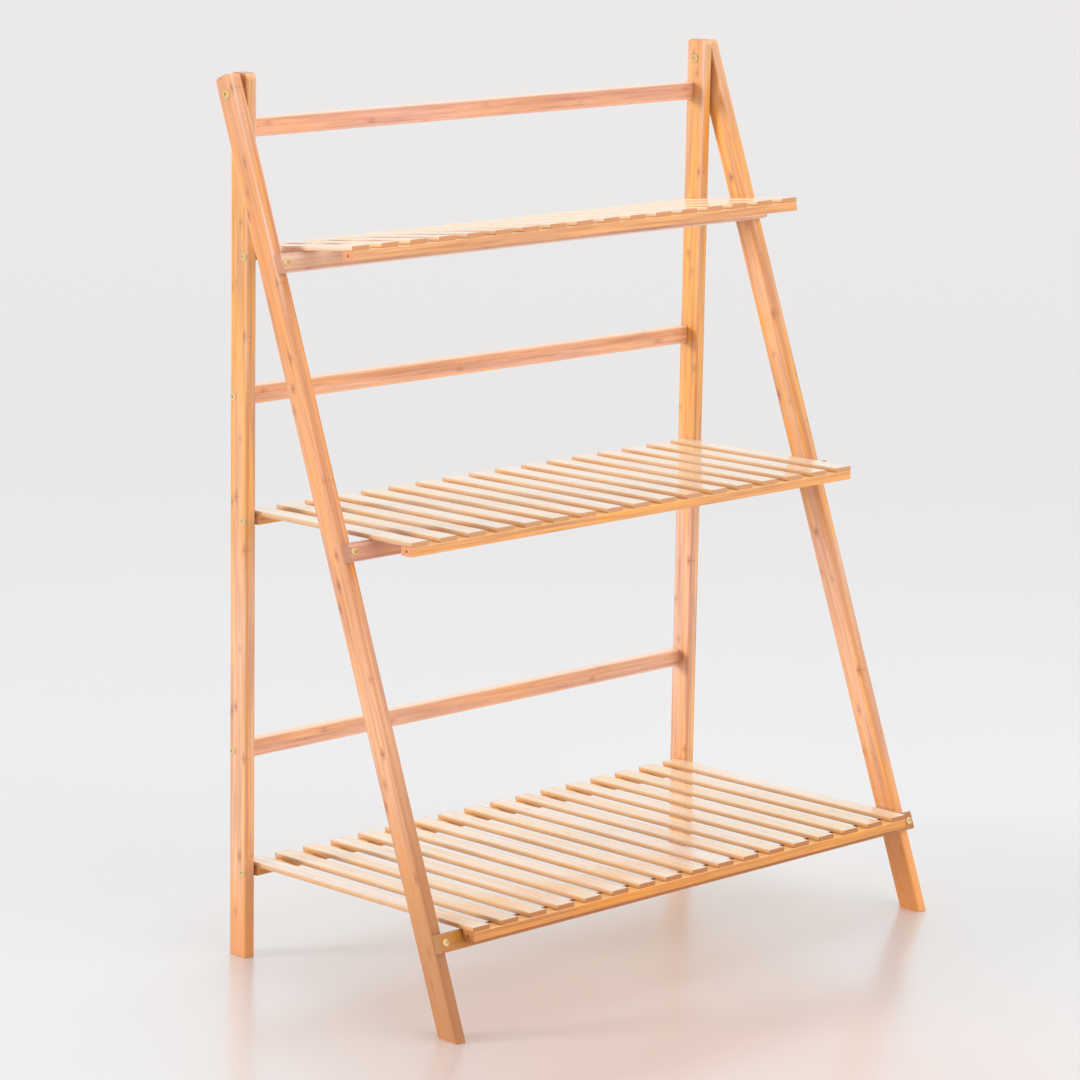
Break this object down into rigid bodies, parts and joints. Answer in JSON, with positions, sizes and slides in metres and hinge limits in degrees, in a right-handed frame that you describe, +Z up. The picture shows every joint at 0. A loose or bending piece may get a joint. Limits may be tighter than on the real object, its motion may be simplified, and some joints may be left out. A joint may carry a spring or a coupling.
{
  "type": "plant ladder stand",
  "caption": "Folding ladder stand: slatted shelves pivot between upright posts and rest on crossbars of a slanting front frame that swings flat against the posts.",
  "frame": {"origin": "on the floor, at the centre of the bounding box's base", "axes": "+X to the right across the width, -Y to the front where the shelves reach furthest, +Z up"},
  "size_m": [0.7248, 0.394, 0.96],
  "materials": {
    "bamboo_post": "clear varnish over caramel bamboo, satin",
    "bamboo_leg": "clear varnish over caramel bamboo, satin",
    "bamboo_crossbar": "clear varnish over caramel bamboo, satin",
    "bamboo_slat": "clear varnish over honey bamboo, glossy",
    "bamboo_rail": "clear varnish over honey bamboo, satin",
    "brass_fixing": "brass-plated steel, polished",
    "nylon_spacer": "natural nylon, matte"
  },
  "bodies": {
    "rear_frame": {"rear_post_left": "bamboo_post", "rear_post_right": "bamboo_post", "rear_crossbar_top": "bamboo_crossbar", "rear_crossbar_middle": "bamboo_crossbar", "rear_crossbar_bottom": "bamboo_crossbar", "rear_crossbar_screws_left": "brass_fixing", "rear_crossbar_screws_right": "brass_fixing", "leg_pivot_bolt_left": "brass_fixing", "leg_pivot_bolt_right": "brass_fixing", "leg_pivot_nut_left": "brass_fixing", "leg_pivot_nut_right": "brass_fixing", "leg_spacer_left": "nylon_spacer", "leg_spacer_right": "nylon_spacer"},
    "front_frame": {"front_leg_left": "bamboo_leg", "front_leg_right": "bamboo_leg", "front_crossbar_top": "bamboo_crossbar", "front_crossbar_middle": "bamboo_crossbar", "front_crossbar_bottom": "bamboo_crossbar", "front_crossbar_screws_left": "brass_fixing", "front_crossbar_screws_right": "brass_fixing"},
    "top_shelf": {"top_shelf_slats": "bamboo_slat", "top_shelf_front_rail": "bamboo_rail", "top_shelf_rear_rail": "bamboo_rail", "top_shelf_screw_left": "brass_fixing", "top_shelf_screw_right": "brass_fixing", "top_shelf_washer_left": "brass_fixing", "top_shelf_washer_right": "brass_fixing"},
    "middle_shelf": {"middle_shelf_slats": "bamboo_slat", "middle_shelf_front_rail": "bamboo_rail", "middle_shelf_rear_rail": "bamboo_rail", "middle_shelf_screw_left": "brass_fixing", "middle_shelf_screw_right": "brass_fixing", "middle_shelf_washer_left": "brass_fixing", "middle_shelf_washer_right": "brass_fixing"},
    "bottom_shelf": {"bottom_shelf_slats": "bamboo_slat", "bottom_shelf_front_rail": "bamboo_rail", "bottom_shelf_rear_rail": "bamboo_rail", "bottom_shelf_screw_left": "brass_fixing", "bottom_shelf_screw_right": "brass_fixing", "bottom_shelf_washer_left": "brass_fixing", "bottom_shelf_washer_right": "brass_fixing"}
  },
  "joints": [
    {"name": "front_frame_fold", "type": "hinge", "parent": "rear_frame", "child": "front_frame", "pos_m": [0, 0.17861, 0.938], "axis": [1, 0, 0], "range_deg": [0, 20.5]},
    {"name": "top_shelf_lift", "type": "hinge", "parent": "rear_frame", "child": "top_shelf", "pos_m": [0, 0.16961, 0.768], "axis": [-1, 0, 0], "range_deg": [0, 83.6]},
    {"name": "middle_shelf_lift", "type": "hinge", "parent": "rear_frame", "child": "middle_shelf", "pos_m": [0, 0.16961, 0.48442], "axis": [-1, 0, 0], "range_deg": [0, 88.4]},
    {"name": "bottom_shelf_lift", "type": "hinge", "parent": "rear_frame", "child": "bottom_shelf", "pos_m": [0, 0.16961, 0.096], "axis": [-1, 0, 0], "range_deg": [0, 88.4]}
  ]
}
